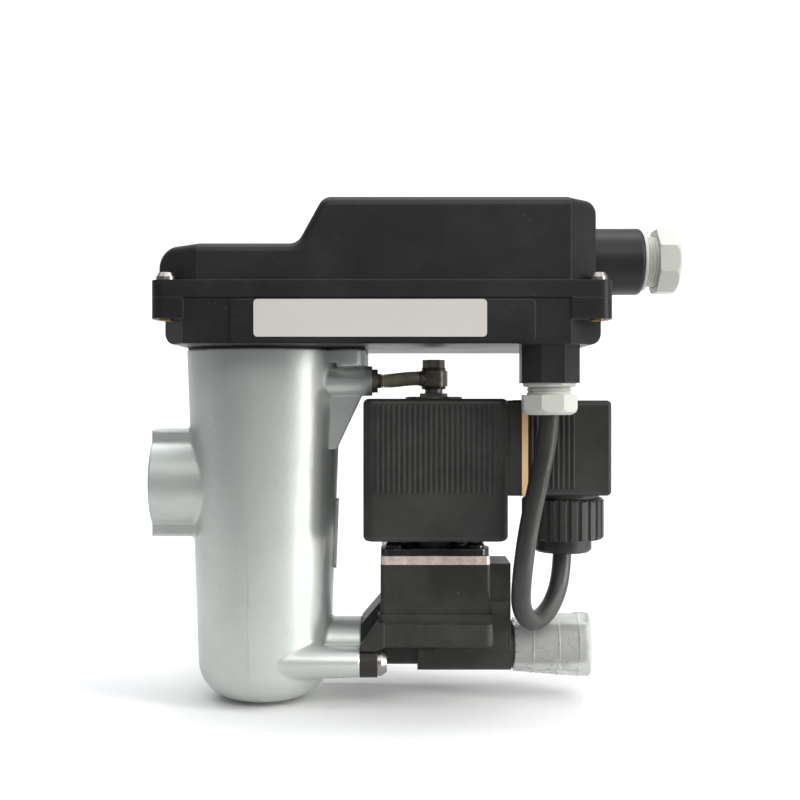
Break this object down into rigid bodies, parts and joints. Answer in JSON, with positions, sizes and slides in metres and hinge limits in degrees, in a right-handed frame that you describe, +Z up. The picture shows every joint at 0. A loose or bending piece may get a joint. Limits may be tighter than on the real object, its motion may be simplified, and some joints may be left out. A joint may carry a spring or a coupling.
{
  "type": "automatic drain valve",
  "caption": "Electronic condensate drain: cast container with side inlet, black electronics housing, solenoid diaphragm valve and capped hose outlet.",
  "frame": {"origin": "centre of the inlet's end face, on the axis of the G 1/2 thread", "axes": "+X from the inlet towards the outlet, +Z up through the electronics housing, -Y the side with the rating label"},
  "size_m": [0.155, 0.0658, 0.1444],
  "materials": {
    "cast_aluminium": "satin cast",
    "housing_black": "fine spark texture",
    "coil_black": "matt moulded",
    "valve_black": "matt moulded",
    "gland_grey": "satin",
    "zinc_steel": "zinc plated",
    "black_steel": "blackened",
    "brass": "turned",
    "copper_seal": "annealed",
    "nickel_metal": "dull nickel",
    "stainless": "drawn",
    "soft_iron": "ground",
    "label_film": "satin film",
    "seal_rubber": "matt",
    "seal_tan": "matt flat gasket",
    "cable_black": "smooth sheath",
    "hose_metal": "corrugated",
    "cap_milky": "translucent polyethylene",
    "board_green": "solder mask",
    "component_black": "moulded",
    "terminal_green": "moulded",
    "button_grey": "satin",
    "clear_pipe": "clear"
  },
  "bodies": {
    "drain_valve": {"container_casting": "cast_aluminium", "container_seal": "seal_rubber", "container_screws": "zinc_steel", "level_probe": "valve_black", "lower_housing": "housing_black", "hood_gasket": "seal_rubber", "hood_cover": "housing_black", "hood_screws": "zinc_steel", "hood_inserts": "brass", "rating_label": "label_film", "main_board": "board_green", "board_screws": "zinc_steel", "transformer": "component_black", "relay": "component_black", "terminal_block": "terminal_green", "display_board": "board_green", "display_screws": "zinc_steel", "test_switch": "component_black", "light_pipes": "clear_pipe", "supply_gland_body": "gland_grey", "supply_gland_seal": "seal_rubber", "supply_gland_nut": "gland_grey", "valve_gland_body": "gland_grey", "valve_gland_seal": "seal_rubber", "valve_gland_nut": "gland_grey", "valve_cable": "cable_black", "coil_body": "coil_black", "contact_blades": "nickel_metal", "connector_gasket": "seal_tan", "connector_housing": "coil_black", "connector_insert": "component_black", "connector_screw": "zinc_steel", "connector_nut": "coil_black", "connector_seal": "seal_rubber", "core_tube": "stainless", "fixed_core": "soft_iron", "plunger_spring": "stainless", "coil_nut": "nickel_metal", "banjo_bolt": "nickel_metal", "banjo_ring": "nickel_metal", "banjo_washers": "copper_seal", "hose_fitting": "nickel_metal", "pilot_hose": "hose_metal", "armature_flange": "black_steel", "flange_screws": "black_steel", "steel_plate": "stainless", "diaphragm": "seal_rubber", "diaphragm_spring": "stainless", "valve_body": "valve_black", "valve_o_ring": "seal_rubber", "valve_screws": "zinc_steel", "outlet_nozzle": "valve_black"},
    "plunger": {"plunger": "soft_iron"},
    "diaphragm_disc": {"diaphragm_disc": "brass"},
    "test_button": {"test_button": "button_grey"},
    "outlet_cap": {"outlet_cap": "cap_milky"}
  },
  "joints": [
    {"name": "plunger_slide", "type": "slide", "parent": "drain_valve", "child": "plunger", "axis": [0, 0, 1], "range_m": [0, 0.0012], "stiffness_N_per_m": 300, "springref_m": -0.003, "deforming": ["plunger_spring"]},
    {"name": "diaphragm_slide", "type": "slide", "parent": "drain_valve", "child": "diaphragm_disc", "axis": [0, 0, 1], "range_m": [0, 0.002], "stiffness_N_per_m": 200, "springref_m": -0.003, "deforming": ["diaphragm_spring"]},
    {"name": "test_button_press", "type": "slide", "parent": "drain_valve", "child": "test_button", "axis": [0, 0, -1], "range_m": [0, 0.001], "stiffness_N_per_m": 800},
    {"name": "outlet_cap_pull", "type": "slide", "parent": "drain_valve", "child": "outlet_cap", "axis": [1, 0, 0], "range_m": [0, 0.06]}
  ]
}
